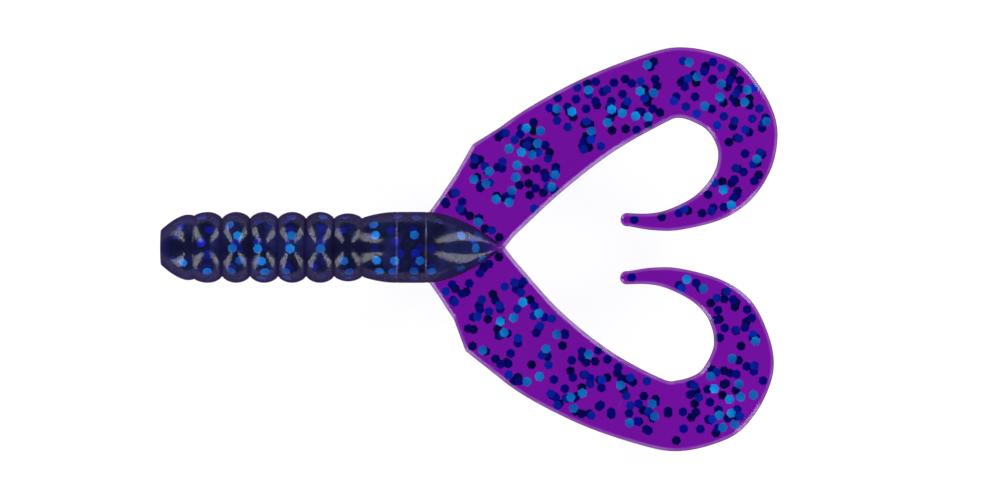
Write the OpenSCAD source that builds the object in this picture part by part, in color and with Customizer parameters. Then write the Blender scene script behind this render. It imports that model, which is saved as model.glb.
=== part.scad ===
// Double curl-tail grub: a short ribbed body, a collar, a bullet-shaped taper and two flat tails that
// curl back towards each other, cast in soft plastic with hexagonal glitter flakes inside it.
// +X runs from the nose to the tails, +Z is up and Z = 0 is the mould's parting plane. The origin is the
// middle of the nose's flat face. Right is +Y, as seen from above with the nose pointing away.
// The casting is divided where it flexes: at each groove, and on three lines across each tail and one
// at its root. Millimetres and degrees.

/* [Body] */
// Length of the blunt nose, up to the first groove
nose_l = 3.76; // [3.5:0.02:5]
// Diameter of the flat face on the nose
nose_face_d = 4; // [3:0.1:5]
// Diameter of the nose at its fullest
nose_d = 7.46; // [7.4:0.02:8]
// Fullness of the nose, where 1 is a cone and 2 a parabola
nose_power = 1.6; // [1.2:0.1:2]
// Diameter over the crests of the ribs
rib_d = 8.06; // [7.8:0.02:9]
// Diameter over the crest of the last rib
last_rib_d = 7.74; // [7.5:0.02:9]
// Diameter at the bottom of the shallow first groove, behind the nose
first_groove_d = 7.3; // [6.8:0.02:7.4]
// Diameter at the bottom of the other grooves
groove_d = 6.7; // [6:0.1:7]
// Spacing of the grooves along the body
rib_pitch = 3.18; // [3:0.02:3.6]
// Length of the shoulder behind the last groove
shoulder_l = 4; // [3:0.1:5]
// Length of the smooth collar
collar_l = 3.3; // [2:0.1:5]
// Depth and half width of the fine lines at the collar's ends
collar_line = 0.08; // [0.04:0.01:0.12]
// Length of the bullet-shaped taper
taper_l = 8.8; // [8:0.1:9]
// Fullness of the taper, where 1 is a cone and 2 a parabola
taper_power = 1.75; // [1.4:0.05:2]

/* [Tails] */
// Thickness of the flat tails
tail_t = 1.2; // [1:0.1:1.4]
// Angle by which the left tail is splayed further out than the right one
left_splay = 1; // [0:0.5:2]

/* [Joints] */
// Largest bend at one groove
groove_bend = 10; // [6:1:12]
// Radius of the ball that joins one rib to the next
ball_r = 1.5; // [1.2:0.1:1.8]
// Clearance round each ball and each tail knuckle
fit_gap = 0.05; // [0.03:0.01:0.08]

/* [Flakes] */
// Size of a flake across its corners
flake_d = 1.12; // [0.8:0.02:1.12]
// Thickness of a flake
flake_t = 0.04; // [0.03:0.01:0.06]
// Share of the places in a tail that hold a flake
tail_fill = 0.33; // [0.05:0.01:0.4]
// Share of the places near the body's skin that hold a flake
body_fill = 0.5; // [0.05:0.01:0.6]

/* [Hidden] */

$fn = 64;
body_colour = "#1c1440";
tail_colour = "#78109e";
flake_colour = "#1450b0";

// Places along the body
RIBS = 6;
last_groove_x = nose_l + RIBS * rib_pitch;
collar_x = last_groove_x + shoulder_l;
taper_x = collar_x + collar_l;
taper_end_x = taper_x + taper_l;
nose_crest_x = nose_l - 0.76;
// The notch between the two tails, just behind the taper's point
notch_x = taper_end_x + 0.06;

// How far each piece is cut back on its side of a groove, which leaves room for the bend
groove_cut = rib_d / 2 * tan(groove_bend / 2);
// Points along the profile of one piece
profile_steps = 12;

// The right tail, counted from the notch, as stations along it: [outer edge x, y, inner edge x, y]
RIGHT = [
    [-5.6, 8.2, 1.1, 1.3], [-0.4, 13.7, 6.5, 6.3], [7.7, 18.6, 12.3, 10.8], [15.9, 21.9, 18.1, 14.1],
    [20.7, 22.7, 20, 14.7], [26.1, 21.3, 22.2, 13.9], [28.8, 18.6, 23.4, 12.9], [30.6, 15.2, 24.1, 11.6],
    [31, 12.2, 24.3, 10.4], [30.2, 8.7, 24, 8.9], [28, 5.4, 23, 7.2], [24.7, 3.2, 21.3, 5.6],
    [20, 2, 18.6, 4.3], [16.9, 1.95, 16.4, 3.85], [14.1, 2.4, 13.8, 3.9]
];
right_corner = [-3.6, 11.7];
// The left tail is nearly its mirror image, but bows out more at its root and less round its curl
LEFT = concat(
    [RIGHT[0]],
    [
        [-0.4, 14.7, 6.4, 7], [7.6, 19.3, 12.2, 11.5], [15.8, 22.1, 18, 14.5], [20.7, 22.7, 20, 14.7],
        [26, 21.1, 22.2, 13.9], [28.7, 18.5, 23.2, 12.7], [30.4, 15.1, 23.8, 11.4], [30.8, 12.1, 24, 10.4],
        [29.9, 8.7, 23.8, 8.9]
    ],
    [for (i = [10 : 14]) RIGHT[i]]
);
left_corner = [-4.2, 11.8];
// Where the web starts on the taper's side, counted from the notch
web_start = [-8.6, 3.9];
// How far each half of the web reaches across the middle
web_overlap = 0.4;
// Place of the four hinge lines, in stations along the tail, and the tail's end
HINGE_U = [0, 1.55, 3.4, 8, 14];
// The outer edge follows its stations from here on, past the corner
corner_u = 1;
// Steps from one station to the next
tail_steps = 4;
// The point that the left tail is splayed about, ahead of the notch
splay_x = notch_x - 3;
// A knuckle is a touch slimmer than the tail, so that its round never just grazes the flat faces
knuckle_r = tail_t / 2 - 0.01;

// Flakes lie in thin layers, so that none touches another. Each seed picks one scatter, right then left.
tail_layers = 5;
layer_gap = 0.24;
flake_pitch = 1.45;
flake_jitter = 0.15;
tail_tilt = 4;
tail_seeds = [11, 12];
web_seeds = [35, 23];
// Room for a flake's own half size, and how far it reaches up and down when tilted
flake_room = flake_d / 2 + 0.03;
flake_rise = 0.06;

// In the body they lie in rings, as deep under the skin as the first depth and then one gap more each
body_layers = 3;
body_layer_gap = 0.38;
first_depth = 0.16;
// Spacing round a ring, and the length of body that one ring takes up and the next leaves free
ring_pitch = 1.36;
window_l = 1.16;
// How far a flake's middle keeps from a groove, and from the nose's face
row_margin = 0.95;
nose_start = 1.4;
body_tilt = 4;
nose_seed = 100;
rear_seed = 90;

// ---- Shapes that the parts share ----

// Start of piece i of the ribbed body, counted from the first groove
function groove_x(i) = nose_l + i * rib_pitch;

// Radius of rib i at a distance from its crest, as an arc down to the groove on either side
function rib_r(i, d) =
    let (
        crest = (i == RIBS ? last_rib_d : rib_d) / 2,
        rise = crest - (i == 1 && d < 0 ? first_groove_d : groove_d) / 2,
        arc_r = (pow(rib_pitch / 2, 2) + rise * rise) / 2 / rise
    )
    crest - arc_r + sqrt(arc_r * arc_r - d * d);

// Radius of the nose: full and blunt, then a short fall into the first groove
function nose_r(x) =
    x < nose_crest_x
    ? nose_d / 2 - (nose_d - nose_face_d) / 2 * pow(1 - x / nose_crest_x, nose_power)
    : nose_d / 2 - (nose_d - first_groove_d) / 2 * pow((x - nose_crest_x) / (nose_l - nose_crest_x), 2);

// Radius of the whole body at x
function body_r(x) =
    let (i = floor((x - nose_l) / rib_pitch) + 1)
    x < nose_l ? nose_r(max(x, 0))
    : x < last_groove_x ? rib_r(i, x - groove_x(i - 0.5))
    : x < collar_x ? rib_d / 2 - (rib_d - groove_d) / 2 * pow(1 - (x - last_groove_x) / shoulder_l, 2)
    : x < taper_x ? rib_d / 2
    : rib_d / 2 * max(1 - pow((x - taper_x) / taper_l, taper_power), 0);

// Points [radius, x] of the body's outline from x0 to x1
function outline(x0, x1) =
    [for (i = [0 : profile_steps]) let (x = x0 + (x1 - x0) * i / profile_steps) [body_r(x), x]];

// Turns a [radius, x] outline about the X axis
module turned(points) rotate([0, 90, 0]) rotate_extrude() polygon(points);

// One link of the ribbed body, from x0 to x1, with a socket in front and a ball behind
module body_link(x0, x1, socket, ball) {
    color(body_colour)
        difference() {
            union() {
                turned(concat(
                    [[0, x0]],
                    outline(socket ? x0 + groove_cut : x0, ball ? x1 - groove_cut : x1),
                    [[0, x1]]
                ));
                if (ball) translate([x1, 0, 0]) sphere(ball_r);
            }
            if (socket) translate([x0, 0, 0]) sphere(ball_r + fit_gap);
        }
}

// Point on a smooth curve through a list of points, u stations along it
function spline(p, u) =
    let (
        n = len(p) - 1, i = max(min(floor(u), n - 1), 0), f = u - i, b = p[i], c = p[i + 1],
        a = i > 0 ? p[i - 1] : 2 * b - c, d = i + 2 <= n ? p[i + 2] : 2 * c - b
    )
    b + 0.5 * f * (c - a + f * (2 * a - 5 * b + 4 * c - d + f * (3 * (b - c) + d - a)));

// Points on the outer edge, the inner edge and the middle of tail t
function outer(t, u) = let (s = spline(t, u)) [s[0], s[1]];
function inner(t, u) = let (s = spline(t, u)) [s[2], s[3]];
function middle(t, u) = (outer(t, u) + inner(t, u)) / 2;

// Heading along tail t, square to the line across it
function heading(t, u) = let (across = outer(t, u) - inner(t, u)) atan2(-across[0], across[1]);

// Stations from one to another, both ends included
function stations(u0, u1) =
    let (n = ceil((u1 - u0) * tail_steps)) [for (i = [0 : n]) u0 + (u1 - u0) * i / n];

// Half a turn about the middle of a tail's last station, which rounds its tip
function tip_round(t) =
    let (u = len(t) - 1, c = middle(t, u), r = norm(outer(t, u) - inner(t, u)) / 2, h = heading(t, u))
    [for (a = [75 : -15 : -75]) c + r * [cos(h + a), sin(h + a)]];

// The two edges of link k of tail t, from its own hinge line to the next
function outer_edge(t, corner, k) =
    k == 0
    ? concat([outer(t, 0), corner], [for (u = stations(corner_u, HINGE_U[1])) outer(t, u)])
    : [for (u = stations(HINGE_U[k], HINGE_U[k + 1])) outer(t, u)];
function inner_edge(t, k) = [for (u = stations(HINGE_U[k], HINGE_U[k + 1])) inner(t, u)];

function reversed(points) = [for (i = [len(points) - 1 : -1 : 0]) points[i]];

// Outline of link k of tail t
function link_outline(t, corner, k) =
    concat(outer_edge(t, corner, k), k == 3 ? tip_round(t) : [], reversed(inner_edge(t, k)));

// Outline of a whole tail, from its root hinge
function tail_outline(t, corner) =
    concat(
        [for (k = [0 : 3]) each outer_edge(t, corner, k)], tip_round(t),
        reversed([for (k = [0 : 3]) each inner_edge(t, k)])
    );

// A bar along hinge line k, of radius r, and longer than the line by extra
module hinge_bar(t, k, r, extra = 0) {
    u = HINGE_U[k];
    c = middle(t, u);
    translate([c[0], c[1], 0])
        rotate([90, 0, heading(t, u)])
            cylinder(r = r, h = norm(outer(t, u) - inner(t, u)) + extra, center = true);
}

// The hollow in the link before hinge line k, for the knuckle to turn in
module hinge_hollow(t, k) hinge_bar(t, k, tail_t / 2 + fit_gap, 2);

// Puts a right tail's shapes on the body
module on_right() translate([notch_x, 0, 0]) children();

// Puts a right tail's shapes on the body as the left tail
module on_left()
    translate([splay_x, 0, 0])
        rotate([0, 0, -left_splay])
            translate([notch_x - splay_x, 0, 0])
                mirror([0, 1, 0])
                    children();

// One tail link, with a round knuckle in front and a hollow for the next knuckle behind
module tail_link(t, corner, k) {
    color(tail_colour)
        difference() {
            union() {
                linear_extrude(tail_t, center = true) polygon(link_outline(t, corner, k));
                hinge_bar(t, k, knuckle_r);
            }
            if (k < 3) hinge_hollow(t, k + 1);
        }
}

// Outline of half of the web, from just across the middle of the taper to a tail's root hinge
function half_web(t) =
    [[web_start[0], -web_overlap], web_start, outer(t, 0), inner(t, 0), [0, 0], [-1, -web_overlap]];

// ---- Flakes ----

// Six random numbers for each place
function noise(count, seed) =
    let (all = rands(0, 1, count * 6, seed)) [for (i = [0 : count - 1]) [for (j = [0 : 5]) all[6 * i + j]]];

// Flakes at a list of [x, y, z, turn, tilt, tilt]
module flakes(places)
    color(flake_colour)
        for (p = places)
            translate([p[0], p[1], p[2]])
                rotate([p[4], p[5], p[3]])
                    cylinder(d = flake_d, h = flake_t, center = true, $fn = 6);

// Loose places over a tail: a jittered grid in each layer, each turned by its own angle and thinned
function loose_places(seed) =
    let (
        reach = 17, across = 2 * reach + 1, n = noise(tail_layers * across * across, seed)
    )
    [for (layer = [0 : tail_layers - 1], i = [0 : across - 1], j = [0 : across - 1])
        let (r = n[(layer * across + i) * across + j])
        if (r[0] < tail_fill)
            let (
                a = 17 * layer + 8,
                x = (i - reach) * flake_pitch + (2 * r[1] - 1) * flake_jitter,
                y = (j - reach) * flake_pitch + (2 * r[2] - 1) * flake_jitter
            )
            [11 + x * cos(a) - y * sin(a), 11.5 + x * sin(a) + y * cos(a),
             (layer - (tail_layers - 1) / 2) * layer_gap, 60 * r[3],
             tail_tilt * (2 * r[4] - 1), tail_tilt * (2 * r[5] - 1)]];

// Distance from a place to the stretch from a to b
function reach_of(p, a, b) =
    let (d = b - a, f = max(min((p - a) * d / max(d * d, 1e-9), 1), 0)) norm(p - a - f * d);

// True if a place is inside a closed outline
function inside(points, p) =
    let (
        n = len(points),
        turns = [for (i = [0 : n - 1])
            let (a = points[i], b = points[(i + 1) % n])
            if ((a[1] > p[1]) != (b[1] > p[1])
                && p[0] < a[0] + (p[1] - a[1]) * (b[0] - a[0]) / (b[1] - a[1]))
            1]
    )
    len(turns) % 2 == 1;

// Distance from a place to the nearest edge of a closed outline
function edge_gap(points, p) =
    let (n = len(points)) min([for (i = [0 : n - 1]) reach_of(p, points[i], points[(i + 1) % n])]);

// Distance from a place to hinge line k of tail t
function hinge_gap(t, k, p) = reach_of(p, outer(t, HINGE_U[k]), inner(t, HINGE_U[k]));

// Room that a flake at height z needs from a tail's edge, which is rounded off near its faces
function edge_room(z) = flake_room + max(1.6 * abs(z) - 0.43, 0);

// Room it needs behind a hinge line, inside the knuckle, and ahead of one, clear of the hollow
function knuckle_room(z) = flake_room - sqrt(pow(knuckle_r, 2) - pow(abs(z) + flake_rise, 2));
function hollow_room(z) =
    flake_room + sqrt(pow(tail_t / 2 + fit_gap, 2) - pow(max(abs(z) - flake_rise, 0), 2));

// Places in link k of tail t, clear of the tail's edges and of the hinges at both ends of the link
function link_places(t, corner, k, seed) =
    let (link = link_outline(t, corner, k), tail = tail_outline(t, corner))
    [for (p = loose_places(seed))
        let (xy = [p[0], p[1]])
        if (inside(link, xy) && edge_gap(tail, xy) > edge_room(p[2])
            && hinge_gap(t, k, xy) > knuckle_room(p[2]) && (k == 3 || hinge_gap(t, k + 1, xy) > hollow_room(p[2])))
        p];

// Places in the web, clear of its edges, the root hinge and the flakes inside the taper
function web_places(t, seed) =
    [for (p = loose_places(seed))
        let (xy = [p[0], p[1]])
        if (inside(half_web(t), xy) && edge_gap(half_web(t), xy) > edge_room(p[2])
            && hinge_gap(t, 0, xy) > hollow_room(p[2]) && p[1] > body_r(notch_x + p[0]) + flake_d / 2)
        p];

// Flakes under the body's skin. Each window [x0, x1] has one loose ring of them at each depth.
module skin_flakes(windows, seed) {
    slots = 20;
    n = noise(len(windows) * body_layers * slots, seed);
    color(flake_colour)
        for (w = [0 : len(windows) - 1], layer = [0 : body_layers - 1]) {
            window = windows[w];
            depth = first_depth + layer * body_layer_gap;
            least_r = min(body_r(window[0]), body_r(window[1])) - depth;
            places = floor(2 * PI * max(least_r, 0) / ring_pitch);
            for (j = [0 : 1 : places - 1]) {
                f = n[(w * body_layers + layer) * slots + j];
                x = window[0] + f[2] * (window[1] - window[0]);
                slope = atan((body_r(x + 0.1) - body_r(x - 0.1)) / 0.2);
                if (least_r > 1 && f[0] < body_fill)
                    rotate([(j + 0.5 * layer + 0.14 * f[1]) * 360 / places, 0, 0])
                        translate([x, 0, body_r(x) - depth])
                            rotate([body_tilt * (2 * f[4] - 1), body_tilt * (2 * f[5] - 1) - slope, 0])
                                rotate([0, 0, 60 * f[3]])
                                    cylinder(d = flake_d, h = flake_t, center = true, $fn = 6);
            }
        }
}

// Flakes of one rib
module rib_flakes(i) skin_flakes([[groove_x(i - 1) + row_margin, groove_x(i) - row_margin]], nose_seed + i);

// ---- Parts ----

module nose() body_link(0, nose_l, false, true);

module rib(i) body_link(groove_x(i - 1), groove_x(i), true, true);

module shoulder() body_link(last_groove_x, collar_x, true, false);

// Smooth collar, with a fine line cut at each end
module collar() {
    color(body_colour)
        turned([
            [0, collar_x], [rib_d / 2 - collar_line, collar_x], [rib_d / 2, collar_x + collar_line],
            [rib_d / 2, taper_x - collar_line], [rib_d / 2 - collar_line, taper_x], [0, taper_x]
        ]);
}

module taper() {
    color(body_colour)
        turned(concat([[0, taper_x]], outline(taper_x, taper_end_x)));
}

// Flat web that joins both tails to the taper's sides
module tail_web() {
    color(tail_colour)
        difference() {
            union() {
                on_right() linear_extrude(tail_t, center = true) polygon(half_web(RIGHT));
                on_left() linear_extrude(tail_t, center = true) polygon(half_web(LEFT));
            }
            taper();
            translate([taper_x - collar_l, 0, 0]) rotate([0, 90, 0]) cylinder(d = rib_d, h = collar_l);
            on_right() hinge_hollow(RIGHT, 0);
            on_left() hinge_hollow(LEFT, 0);
        }
}

module right_link(k) on_right() tail_link(RIGHT, right_corner, k);

module left_link(k) on_left() tail_link(LEFT, left_corner, k);

module nose_flakes() skin_flakes([[nose_start, nose_l - row_margin]], nose_seed);

// Flakes in the shoulder, collar, taper and web, which never move apart
module rear_flakes() {
    starts = [last_groove_x + row_margin : 2 * window_l : taper_end_x - 2];
    skin_flakes([for (x = starts) [x, x + window_l]], rear_seed);
    on_right() flakes(web_places(RIGHT, web_seeds[0]));
    on_left() flakes(web_places(LEFT, web_seeds[1]));
}

module right_link_flakes(k)
    on_right() flakes(link_places(RIGHT, right_corner, k, tail_seeds[0]));

module left_link_flakes(k)
    on_left() flakes(link_places(LEFT, left_corner, k, tail_seeds[1]));

nose();
rib(1);  // rib_1
rib(2);  // rib_2
rib(3);  // rib_3
rib(4);  // rib_4
rib(5);  // rib_5
rib(6);  // rib_6
shoulder();
collar();
taper();
tail_web();
right_link(0);  // right_blade_1
right_link(1);  // right_blade_2
right_link(2);  // right_curl
right_link(3);  // right_tip
left_link(0);  // left_blade_1
left_link(1);  // left_blade_2
left_link(2);  // left_curl
left_link(3);  // left_tip
nose_flakes();
rib_flakes(1);  // rib_1_flakes
rib_flakes(2);  // rib_2_flakes
rib_flakes(3);  // rib_3_flakes
rib_flakes(4);  // rib_4_flakes
rib_flakes(5);  // rib_5_flakes
rib_flakes(6);  // rib_6_flakes
rear_flakes();
right_link_flakes(0);  // right_blade_1_flakes
right_link_flakes(1);  // right_blade_2_flakes
right_link_flakes(2);  // right_curl_flakes
right_link_flakes(3);  // right_tip_flakes
left_link_flakes(0);  // left_blade_1_flakes
left_link_flakes(1);  // left_blade_2_flakes
left_link_flakes(2);  // left_curl_flakes
left_link_flakes(3);  // left_tip_flakes
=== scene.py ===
import math

import bpy
import numpy as np
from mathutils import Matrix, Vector


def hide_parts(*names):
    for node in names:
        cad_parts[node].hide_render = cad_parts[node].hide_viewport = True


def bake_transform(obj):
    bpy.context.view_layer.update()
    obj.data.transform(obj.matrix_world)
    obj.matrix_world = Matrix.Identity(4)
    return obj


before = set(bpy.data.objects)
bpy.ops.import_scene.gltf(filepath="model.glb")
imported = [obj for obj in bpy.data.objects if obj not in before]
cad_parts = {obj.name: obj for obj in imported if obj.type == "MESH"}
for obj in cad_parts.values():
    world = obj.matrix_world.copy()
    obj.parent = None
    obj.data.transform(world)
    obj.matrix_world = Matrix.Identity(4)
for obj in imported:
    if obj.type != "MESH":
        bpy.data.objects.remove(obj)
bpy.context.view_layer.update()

MM = 0.001

# ---- Look ----

# Dye of the clear plastic: what it passes, and how strongly it takes off the rest, per metre
DYE_COLOUR = (0.68, 0.0, 0.806, 1)
DYE_DENSITY = 4700.0
BODY_HAZE = (0.08, 0.1, 0.6, 1)
# Pale diffuse: a painted sheen on the tails' bevels, standing in for the light they catch, and pale scuffing
# in the body's mould lines
PALE_SCUFF_AND_SHEEN = (0.5, 0.4, 0.6, 1)
# Near-black diffuse: painted shade along the body's silhouette and on the tails' rims
PAINTED_EDGE_SHADE = (0.02, 0.011, 0.055, 1)
PLASTIC_IOR = 1.49
# Most that the skin mirrors, at a glancing angle, and how rough that mirror is
MIRROR_CAP = 0.03
MIRROR_ROUGHNESS = 0.15
# Size of the swirls under the skin, and the range of the noise that makes them
SWIRL_SCALE = 260.0
SWIRL_RANGE = (0.4, 0.7)
# Least and most of the pale scuffing and painted bevel sheen in a swirl, and how far a face turns from sight
# before painted shade darkens its edge
SCUFF_AND_SHEEN_RANGE = (0.3, 1.0)
EDGE_SHADE_RANGE = (0.25, 0.75)
# Coarseness that a flake's tilt is read in, so that all of one face gets one painted brightness
TILT_STEP = 0.004
# Painted brightness of the flakes, which the tilt picks at random: painted shade for those taken as turned
# away from the light, up to a painted glint for the brightest
FLAKE_GLINT_AND_SHADE_COLOURS = ((0.0, 0.2, 0.36, 1), (0.0, 0.26, 0.4, 1), (0.0, 0.36, 0.46, 1), (0.0, 0.65, 0.72, 1))

# Radiance of the lights, where a lit white floor is about 1
WORLD_LIGHT = 0.06
STRIP_LIGHT = 6.0
OVERHEAD_LIGHT = 1.5
# The strips' directions in degrees, and their distance and size in metres
STRIP_AZIMUTHS = (42, 138, 222, 318)
STRIP_AWAY = 0.3
STRIP_W = 0.12
STRIP_H = 0.6
OVERHEAD_H = 0.8
OVERHEAD_W = 0.9
AIM = Vector((0.035, 0, 0))

FLOOR_COLOUR = (0.3, 0.3, 0.3, 1)
FLOOR_GLOW = 0.62
FLOOR_W = 3
# How far the floor lies under the middle of the bait, which is below the lowest that any joint takes it
FLOOR_DROP = 0.0215

# Width of the picture at the bait, and the camera's place and sensor
FRAME_W = 0.1136
CAMERA_H = 0.6
CAMERA_AT = (0.0385, -0.0003, CAMERA_H)
SENSOR_W = 36

# ---- Sizes of the bait, in millimetres, as the CAD has them ----

NOSE_L = 3.76
NOSE_FACE_R = 2.0
NOSE_R = 3.73
NOSE_POWER = 1.6
RIB_R = 4.03
LAST_RIB_R = 3.87
FIRST_GROOVE_R = 3.65
GROOVE_R = 3.35
RIB_PITCH = 3.18
RIBS = 6
SHOULDER_L = 4.0
COLLAR_L = 3.3
COLLAR_LINE = 0.08
GROOVE_W = 0.24
GROOVE_WALL = 0.03
GROOVE_STEP = 0.05
TAPER_L = 8.8
TAPER_POWER = 1.75
LAST_GROOVE_X = NOSE_L + RIBS * RIB_PITCH
COLLAR_X = LAST_GROOVE_X + SHOULDER_L
TAPER_X = COLLAR_X + COLLAR_L
TAPER_END_X = TAPER_X + TAPER_L
NOSE_CREST_X = NOSE_L - 0.76
NOTCH_X = TAPER_END_X + 0.06

TAIL_T = 1.2
LEFT_SPLAY = math.radians(1)
SPLAY_X = NOTCH_X - 3

# Stations along each tail from its root hinge, counted from the notch: outer edge x, y, inner edge x, y
RIGHT = np.array([
    (-5.6, 8.2, 1.1, 1.3), (-0.4, 13.7, 6.5, 6.3), (7.7, 18.6, 12.3, 10.8), (15.9, 21.9, 18.1, 14.1),
    (20.7, 22.7, 20, 14.7), (26.1, 21.3, 22.2, 13.9), (28.8, 18.6, 23.4, 12.9), (30.6, 15.2, 24.1, 11.6),
    (31, 12.2, 24.3, 10.4), (30.2, 8.7, 24, 8.9), (28, 5.4, 23, 7.2), (24.7, 3.2, 21.3, 5.6),
    (20, 2, 18.6, 4.3), (16.9, 1.95, 16.4, 3.85), (14.1, 2.4, 13.8, 3.9),
])
LEFT = RIGHT.copy()
LEFT[1:10] = [
    (-0.4, 14.7, 6.4, 7), (7.6, 19.3, 12.2, 11.5), (15.8, 22.1, 18, 14.5), (20.7, 22.7, 20, 14.7),
    (26, 21.1, 22.2, 13.9), (28.7, 18.5, 23.2, 12.7), (30.4, 15.1, 23.8, 11.4), (30.8, 12.1, 24, 10.4),
    (29.9, 8.7, 23.8, 8.9),
]
CORNER = {"right": (-3.6, 11.7), "left": (-4.2, 11.8)}
STATIONS = {"right": RIGHT, "left": LEFT}
# The web, from inside the taper's side to the root hinge, with the same four numbers
WEB = np.array([
    (-8.9, 3.5, -8.3, 3.2), (-8.1, 4.6, -7.0, 3.35), (-7.3, 5.7, -5.0, 2.75), (-6.5, 6.9, -2.6, 1.5),
    (-5.95, 7.7, -0.9, 0.1), (-5.75, 8.0, 0.05, -0.05), (-5.6, 8.2, 1.1, 1.3),
])
WEB_U = [i / (len(WEB) - 1) - 1 for i in range(len(WEB))]
# Where the corner falls between stations, and where the outer edge follows the stations again
CORNER_U = 0.45
CORNER_END_U = 1
# Hinge lines across a tail and the cuts between its skins, in stations
HINGE_U = (0, 1.55, 3.4, 8)
CUT_U = (0.85, 2.5, 5.7, 14)
TAIL_BODIES = ("rear", "{}_blade_1_link", "{}_blade_2_link", "{}_curl_link", "{}_tip_link")
LAST_HINGE = len(HINGE_U) - 1

# A tail's edge: distance in from the edge, and half thickness there
EDGE = np.array([(0, 0), (0, 0.24), (0.02, 0.33), (0.07, 0.385), (0.36, 0.565), (0.43, 0.594), (0.52, 0.6)])
# Which steps of that are the rim and which are the bevel
RIM_STEPS = (0, 1, 2)
BEVEL_STEPS = (3,)
# Finishes of a skin's faces: share of pale, which is scuffing on a mould line and a painted sheen on a bevel,
# share of painted shade on a rim, and 1 on a cut, which isn't seen
CLEAR = (0, 0, 0)
BEVEL_SHEEN = (0.14, 0, 0)
RIM_SHADE = (0, 0.65, 0)
MOULD_LINE = (0.2, 0, 0)
CUT = (0, 0, 1)
# Half the stretch across a tail's hinge line, whose two ends tail_skin works out but leaves unused
TAIL_BEND = 1.2
# How far neighbouring skins reach past the cut between them, in millimetres on the body and in stations
LAP = 0.002
LAP_U = 0.0006
# Fineness of the skins: steps along the body and a tail, very short steps at a cut, sides of the body
BODY_STEP = 0.1
TAIL_STEP = 0.05
END_STEP = 0.02
BODY_SIDES = 96
SHARP_ANGLE = math.radians(50)
# Angles at which rings round a tail's end, and how soon they thin as they near it
TIP_ANGLES = (20, 40, 60, 75, 86)
TIP_THINNING = 1.6


# ---- Outline of the body and the tails ----

def body_r(x):
    """Radius of the body at x, in millimetres."""
    if x < NOSE_CREST_X:
        return NOSE_R - (NOSE_R - NOSE_FACE_R) * (1 - max(x, 0) / NOSE_CREST_X) ** NOSE_POWER
    if x < NOSE_L:
        return NOSE_R - (NOSE_R - FIRST_GROOVE_R) * ((x - NOSE_CREST_X) / (NOSE_L - NOSE_CREST_X)) ** 2
    if x < LAST_GROOVE_X:
        i = min(int((x - NOSE_L) / RIB_PITCH), RIBS - 1)
        crest = LAST_RIB_R if i == RIBS - 1 else RIB_R
        d = x - (NOSE_L + (i + 0.5) * RIB_PITCH)
        rise = crest - (FIRST_GROOVE_R if i == 0 and d < 0 else GROOVE_R)
        arc_r = ((RIB_PITCH / 2) ** 2 + rise ** 2) / 2 / rise
        return crest - arc_r + math.sqrt(arc_r ** 2 - d ** 2)
    if x < COLLAR_X:
        return RIB_R - (RIB_R - GROOVE_R) * (1 - (x - LAST_GROOVE_X) / SHOULDER_L) ** 2
    if x < TAPER_X:
        return RIB_R
    return RIB_R * max(1 - ((x - TAPER_X) / TAPER_L) ** TAPER_POWER, 0)


def groove_dip(x):
    """Extra depth of the narrow channel at the bottom of each groove, which has a step on either side."""
    off = min(abs(x - NOSE_L - i * RIB_PITCH) for i in range(RIBS + 1))
    return GROOVE_STEP * min(max((GROOVE_W / 2 + GROOVE_WALL - off) / GROOVE_WALL, 0), 1)


def collar_dip(x):
    """Depth of the fine lines at the collar's two ends."""
    return sum(max(COLLAR_LINE - abs(x - line), 0) for line in (COLLAR_X, TAPER_X))


def line_finish(xs, row):
    """Finish of a row of the body's faces, which is scuffed in those lines."""
    return MOULD_LINE if collar_dip((xs[row] + xs[row + 1]) / 2) > 0 else CLEAR


def spline(points, u):
    """Point on a smooth curve through the points, u stations along it."""
    n = len(points) - 1
    i = min(max(int(u), 0), n - 1)
    f = u - i
    b, c = points[i], points[i + 1]
    a = points[i - 1] if i > 0 else 2 * b - c
    d = points[i + 2] if i + 2 <= n else 2 * c - b
    return b + 0.5 * f * (c - a + f * (2 * a - 5 * b + 4 * c - d + f * (3 * (b - c) + d - a)))


def mix(a, b, f):
    """Point a share f of the way from a to b."""
    return (1 - f) * np.array(a, float) + f * np.array(b, float)


def tail_section(side, u):
    """Outer and inner edge points of a tail at u, where u below 0 is in the web."""
    stations = STATIONS[side]
    if u < 0:
        s = (1 + u) * (len(WEB) - 1)
        i = min(int(s), len(WEB) - 2)
        p = mix(WEB[i], WEB[i + 1], s - i)
        return p[:2], p[2:]
    p = spline(stations, u)
    if u >= CORNER_END_U:
        return p[:2], p[2:]
    corner = CORNER[side]
    if u < CORNER_U:
        return mix(stations[0][:2], corner, u / CORNER_U), p[2:]
    past = spline(stations, CORNER_END_U)[:2]
    return mix(corner, past, (u - CORNER_U) / (CORNER_END_U - CORNER_U)), p[2:]


def place(side, points):
    """Turns a right tail's points, counted from the notch, into the row frame for either tail."""
    p = np.array(points, float)
    p[:, 0] += NOTCH_X
    if side == "left":
        x, y = p[:, 0] - SPLAY_X, -p[:, 1]
        c, s = math.cos(-LEFT_SPLAY), math.sin(-LEFT_SPLAY)
        p[:, 0], p[:, 1] = SPLAY_X + c * x - s * y, s * x + c * y
    return p


def tail_ring(side, outer, inner):
    """Closed ring of points round a tail's section, from the outer edge over the top and back."""
    across = inner - outer
    width = np.linalg.norm(across)
    squeeze = min(width / 2 / EDGE[-1, 0] * 0.98, 1)
    half = [(s * squeeze / width, z) for s, z in EDGE]
    top = [(f, z) for f, z in half] + [(1 - f, z) for f, z in reversed(half)]
    under = [(f, -z) for f, z in reversed(top[1:-1])]
    return place(side, [(*(outer + f * across), z) for f, z in top + under])


# ---- Meshes ----

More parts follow.
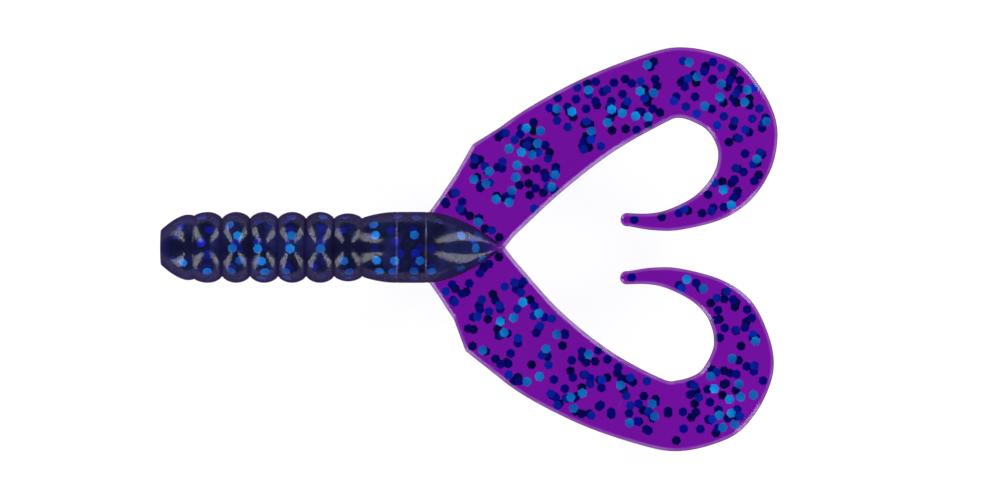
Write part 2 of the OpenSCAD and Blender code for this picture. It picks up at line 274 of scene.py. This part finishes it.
def skin(name, rings, material, cut_start, cut_end, finish_of, flip=False):
    """One closed skin over a row of rings, in one material, which reads each face's finish."""
    n = len(rings[0])
    points = np.concatenate(rings + [rings[0].mean(0)[None], rings[-1].mean(0)[None]])
    faces, finishes = [], []
    for i in range(len(rings) - 1):
        for j in range(n):
            k = (j + 1) % n
            faces.append((i * n + j, i * n + k, (i + 1) * n + k, (i + 1) * n + j))
            finishes.append(finish_of(i, j))
    first, last, base = len(rings) * n, len(rings) * n + 1, (len(rings) - 1) * n
    for j in range(n):
        k = (j + 1) % n
        faces.append((first, k, j))
        finishes.append(CUT if cut_start else CLEAR)
        faces.append((last, base + j, base + k))
        finishes.append(CUT if cut_end else CLEAR)
    mesh = bpy.data.meshes.new(name)
    mesh.from_pydata([tuple(p) for p in points * MM], [], faces)
    mesh.materials.append(material)
    finish = mesh.attributes.new("finish", "FLOAT_VECTOR", "FACE")
    finish.data.foreach_set("vector", np.array(finishes, np.float32).ravel())
    if flip:
        mesh.flip_normals()
    mesh.shade_smooth()
    mesh.set_sharp_from_angle(angle=SHARP_ANGLE)
    ob = bpy.data.objects.new(name, mesh)
    bpy.context.scene.collection.objects.link(ob)
    return ob


def steps(a, b, size):
    """Even steps from a to b, with a very short one at each end, so that skins shade alike at a cut."""
    n = max(int(round((b - a) / size)), 1)
    inner = [a + (b - a) * i / n for i in range(1, n)]
    return [a, a + END_STEP, *inner, b - END_STEP, b]


def body_skin(i, material):
    """Skin over groove i, from the crest ahead of it to the crest behind it."""
    groove = NOSE_L + i * RIB_PITCH
    start = 0.0 if i == 0 else groove - RIB_PITCH / 2 - LAP
    end = TAPER_END_X if i == RIBS else groove + RIB_PITCH / 2 + LAP
    walls = [groove + d for w in (GROOVE_W / 2, GROOVE_W / 2 + GROOVE_WALL) for d in (-w, w)]
    xs = set(steps(start, end, BODY_STEP)) | set(walls)
    if i == RIBS:
        xs |= {line + d for line in (COLLAR_X, TAPER_X) for d in (-COLLAR_LINE, 0, COLLAR_LINE)}
    xs = sorted(xs)
    turn = np.arange(BODY_SIDES) * 2 * math.pi / BODY_SIDES
    rings = []
    for x in xs:
        r = max(body_r(x) - groove_dip(x) - collar_dip(x), 0.01)
        rings.append(np.stack([np.full(BODY_SIDES, x), r * np.cos(turn), r * np.sin(turn)], axis=1))
    ob = skin(f"body_skin_{i + 1}", rings, material, i > 0, i < RIBS, lambda row, _: line_finish(xs, row))
    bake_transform(ob)
    covers = {0: ["nose", "rib_1"], RIBS: ["rib_6", "shoulder", "collar", "taper"]}
    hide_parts(*covers.get(i, [f"rib_{i}", f"rib_{i + 1}"]))
    return ob


def edge_finish(_, j):
    """Finish of ring face j of a tail: the flats are clear, the bevels get a painted pale sheen and the rim a
    painted shade.
    """
    half = 2 * len(EDGE) - 1
    step = min(j % (2 * half), 2 * half - 1 - j % (2 * half))
    step = min(step, half - 1 - step)
    return RIM_SHADE if step in RIM_STEPS else BEVEL_SHEEN if step in BEVEL_STEPS else CLEAR


def tail_skin(side, k, material):
    """Skin over hinge line k of a tail, from the cut ahead of it to the cut behind it."""
    u0 = -1 if k == 0 else CUT_U[k - 1] - LAP_U
    u1 = CUT_U[k] + LAP_U * (k < LAST_HINGE)
    us = steps(u0, u1, TAIL_STEP)
    us = sorted(set(us) | {u for u in (*WEB_U, CORNER_U, CORNER_END_U) if u0 < u < u1})
    rings = [tail_ring(side, *tail_section(side, u)) for u in us]
    if k == LAST_HINGE:
        rings += tip_rings(side)
    name, flip = f"{side}_tail_skin_{k + 1}", side == "left"
    ob = skin(name, rings, material, k > 0, k < LAST_HINGE, edge_finish, flip)
    outer, inner = tail_section(side, HINGE_U[k])
    middle = (outer + inner) / 2
    across = (outer - inner) / np.linalg.norm(outer - inner)
    ahead = np.array([across[1], -across[0]])
    ends = [(*(middle + s * TAIL_BEND * ahead), 0) for s in (-1, 1)]
    start, end = place(side, ends) * MM
    bodies = [b.format(side) for b in TAIL_BODIES[k:k + 2]]
    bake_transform(ob)
    links = [b.replace("_link", "") for b in bodies]
    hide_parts(*["tail_web" if b == "rear" else b for b in links])
    return ob


def tip_rings(side):
    """Rings that round the end of a tail."""
    outer, inner = tail_section(side, CUT_U[LAST_HINGE])
    middle, half = (outer + inner) / 2, (outer - inner) / 2
    ahead = np.array([half[1], -half[0]])
    rings = []
    for a in TIP_ANGLES:
        c, s = math.cos(math.radians(a)), math.sin(math.radians(a))
        ring = tail_ring(side, middle + s * ahead + c * half, middle + s * ahead - c * half)
        ring[:, 2] *= min(c * TIP_THINNING, 1)
        rings.append(ring)
    return rings


# ---- Materials ----

def new_material(name):
    """Empty material, as its material, its node tree and its output node."""
    m = bpy.data.materials.new(name)
    m.use_nodes = True
    nt = m.node_tree
    nt.nodes.clear()
    return m, nt, nt.nodes.new("ShaderNodeOutputMaterial")


def add(nt, kind, **values):
    """Adds a node. A value sets the input of that name, and a socket is linked to it."""
    node = nt.nodes.new(kind)
    for name, value in values.items():
        target = node.inputs[int(name[1:])] if name[0] == "_" else node.inputs[name.replace("_", " ")]
        if isinstance(value, bpy.types.NodeSocket):
            nt.links.new(value, target)
        else:
            target.default_value = value
    return node


def mixed(nt, share, first, second):
    """Shader that is the first one, with a share of the second."""
    return add(nt, "ShaderNodeMixShader", _0=share, _1=first, _2=second).outputs[0]


def worked(nt, operation, a, b):
    """Result of a sum on two values or sockets."""
    node = add(nt, "ShaderNodeMath", _0=a, _1=b)
    node.operation = operation
    return node.outputs[0]


def ranged(nt, value, low, high, to_low, to_high):
    """A value's place between low and high, turned into one between to_low and to_high."""
    node = add(nt, "ShaderNodeMapRange", Value=value, From_Min=low, From_Max=high, To_Min=to_low,
               To_Max=to_high)
    return node.outputs[0]


def plastisol(name, haze_low, haze_high, edge_shade):
    """Oily clear dyed plastic. Only its outside mirrors, and a faint haze swirls under it.

    Where the skin turns away from sight, up to the share given last is painted dark, a painted shade along
    the silhouette. A tail's rim faces get painted shade and its bevels a painted pale sheen.
    Every face has this one material, so that the dye begins and ends at the skin, whichever face light meets.
    """
    m, nt, out = new_material(name)
    spot = add(nt, "ShaderNodeTexCoord").outputs["Object"]
    noise = add(nt, "ShaderNodeTexNoise", Vector=spot, Scale=SWIRL_SCALE, Detail=2.0, Distortion=1.0)
    swirl = noise.outputs[0]
    finish = add(nt, "ShaderNodeAttribute")
    finish.attribute_name = "finish"
    scuff_and_sheen, rim_shade, on_cut = add(nt, "ShaderNodeSeparateXYZ", Vector=finish.outputs["Vector"]).outputs
    clear = add(nt, "ShaderNodeBsdfTransparent").outputs[0]
    haze = add(nt, "ShaderNodeBsdfDiffuse", Color=BODY_HAZE).outputs[0]
    pale_scuff_and_sheen = add(nt, "ShaderNodeBsdfDiffuse", Color=PALE_SCUFF_AND_SHEEN).outputs[0]
    dark = add(nt, "ShaderNodeBsdfDiffuse", Color=PAINTED_EDGE_SHADE).outputs[0]
    mirror = add(nt, "ShaderNodeBsdfGlossy", Roughness=MIRROR_ROUGHNESS).outputs[0]

    look = mixed(nt, ranged(nt, swirl, *SWIRL_RANGE, haze_low, haze_high), clear, haze)
    # Pale scuffing on the mould lines and a painted sheen on the tails' bevels
    scuff_and_sheen_share = worked(nt, "MULTIPLY", scuff_and_sheen, ranged(nt, swirl, *SWIRL_RANGE, *SCUFF_AND_SHEEN_RANGE))
    look = mixed(nt, scuff_and_sheen_share, look, pale_scuff_and_sheen)
    capped = worked(nt, "MINIMUM", add(nt, "ShaderNodeFresnel", IOR=PLASTIC_IOR).outputs[0], MIRROR_CAP)
    outside = worked(nt, "SUBTRACT", 1.0, add(nt, "ShaderNodeNewGeometry").outputs["Backfacing"])
    look = mixed(nt, worked(nt, "MULTIPLY", capped, outside), look, mirror)
    # Painted shade on the rim faces, and along the silhouette where the face turns from sight
    turned = add(nt, "ShaderNodeLayerWeight", Blend=0.5).outputs["Facing"]
    edge_shade_share = ranged(nt, turned, *EDGE_SHADE_RANGE, 0.0, edge_shade)
    look = mixed(nt, worked(nt, "MAXIMUM", rim_shade, edge_shade_share), look, dark)
    look = mixed(nt, on_cut, look, clear)
    nt.links.new(look, out.inputs["Surface"])

    # Purple dye takes off green most, red next and blue least
    volume = add(nt, "ShaderNodeVolumeAbsorption", Color=DYE_COLOUR, Density=DYE_DENSITY)
    nt.links.new(volume.outputs[0], out.inputs["Volume"])
    return m


def glitter():
    """Blue metallised film. Each flake gets its own painted brightness, from painted shade to a painted
    glint, which its tilt picks at random.
    """
    m, nt, out = new_material("blue_glitter_film")
    facing = add(nt, "ShaderNodeNewGeometry").outputs["True Normal"]
    turned = add(nt, "ShaderNodeVectorTransform", Vector=facing)
    turned.vector_type, turned.convert_from, turned.convert_to = "NORMAL", "WORLD", "OBJECT"
    stepped = add(nt, "ShaderNodeVectorMath", _0=turned.outputs[0], _1=(TILT_STEP,) * 3)
    stepped.operation = "SNAP"
    # Painted glint or shade for each flake, hashed from its tilt
    glint_pick = add(nt, "ShaderNodeTexWhiteNoise", Vector=stepped.outputs[0]).outputs["Value"]
    ramp = add(nt, "ShaderNodeValToRGB", Fac=glint_pick)
    stops = ramp.color_ramp.elements
    stops[0].color, stops[1].color = FLAKE_GLINT_AND_SHADE_COLOURS[0], FLAKE_GLINT_AND_SHADE_COLOURS[-1]
    for i, colour in enumerate(FLAKE_GLINT_AND_SHADE_COLOURS[1:-1], 1):
        stops.new(i / (len(FLAKE_GLINT_AND_SHADE_COLOURS) - 1)).color = colour
    film = add(nt, "ShaderNodeBsdfPrincipled", Base_Color=ramp.outputs[0], Metallic=0.3, Roughness=0.4,
               Specular_IOR_Level=0.1)
    nt.links.new(film.outputs[0], out.inputs["Surface"])
    return m


# ---- Build ----

# The body gets up to 0.85 of painted shade along its silhouette, and the tails none there
body_look = plastisol("dark_purple_body", 0.03, 0.09, 0.85)
tail_look = plastisol("clear_purple_tail", 0.0, 0.0, 0.0)
for groove in range(RIBS + 1):
    body_skin(groove, body_look)
for tail in ("right", "left"):
    for hinge in range(LAST_HINGE + 1):
        tail_skin(tail, hinge, tail_look)

film = glitter()
for name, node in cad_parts.items():
    if name.endswith("_flakes"):
        node.data.materials.clear()
        node.data.materials.append(film)

# ---- Floor, light and camera ----

bpy.ops.mesh.primitive_plane_add(size=FLOOR_W, location=(0, 0, -FLOOR_DROP))
floor = bpy.context.object
floor.name = "floor"
pale, tree, output = new_material("pale_floor")
matt = add(tree, "ShaderNodeBsdfDiffuse", Color=FLOOR_COLOUR)
glow = add(tree, "ShaderNodeEmission", Strength=FLOOR_GLOW)
both = add(tree, "ShaderNodeAddShader", _0=matt.outputs[0], _1=glow.outputs[0])
tree.links.new(both.outputs[0], output.inputs["Surface"])
floor.data.materials.append(pale)

world = bpy.data.worlds.new("studio")
bpy.context.scene.world = world
world.use_nodes = True
world.node_tree.nodes["Background"].inputs["Color"].default_value = (1, 1, 1, 1)
world.node_tree.nodes["Background"].inputs["Strength"].default_value = WORLD_LIGHT


def softbox(name, at, size, radiance, mirrored):
    """Rectangular soft light that faces the bait. An unmirrored one leaves no streak on glossy skin."""
    lamp = bpy.data.lights.new(name, "AREA")
    lamp.shape = "RECTANGLE"
    lamp.size, lamp.size_y = size
    lamp.energy = radiance * math.pi * size[0] * size[1]
    ob = bpy.data.objects.new(name, lamp)
    bpy.context.scene.collection.objects.link(ob)
    ob.location = at
    away = Vector(at) - AIM
    ob.rotation_euler = away.to_track_quat("Z", "Y").to_euler()
    ob.visible_camera = False
    ob.visible_glossy = mirrored
    return ob


# Four tall strips stand round the bait on the diagonals, so that the flat tails mirror the dark overhead
for azimuth in STRIP_AZIMUTHS:
    a = math.radians(azimuth)
    out_x, out_y = STRIP_AWAY * math.cos(a), STRIP_AWAY * math.sin(a)
    middle = (AIM.x + out_x, out_y, STRIP_H / 2)
    strip = softbox(f"strip_{azimuth}", middle, (STRIP_W, STRIP_H), STRIP_LIGHT, True)
    strip.rotation_euler = (math.radians(90), 0, a + math.radians(90))
softbox("overhead", (AIM.x, 0, OVERHEAD_H), (OVERHEAD_W, OVERHEAD_W), OVERHEAD_LIGHT, False)

camera = bpy.data.cameras.new("camera")
camera.sensor_width = SENSOR_W
camera.lens = SENSOR_W * CAMERA_H / FRAME_W
view = bpy.data.objects.new("camera", camera)
bpy.context.scene.collection.objects.link(view)
view.location = CAMERA_AT
bpy.context.scene.camera = view
bpy.context.scene.view_settings.view_transform = "Standard"
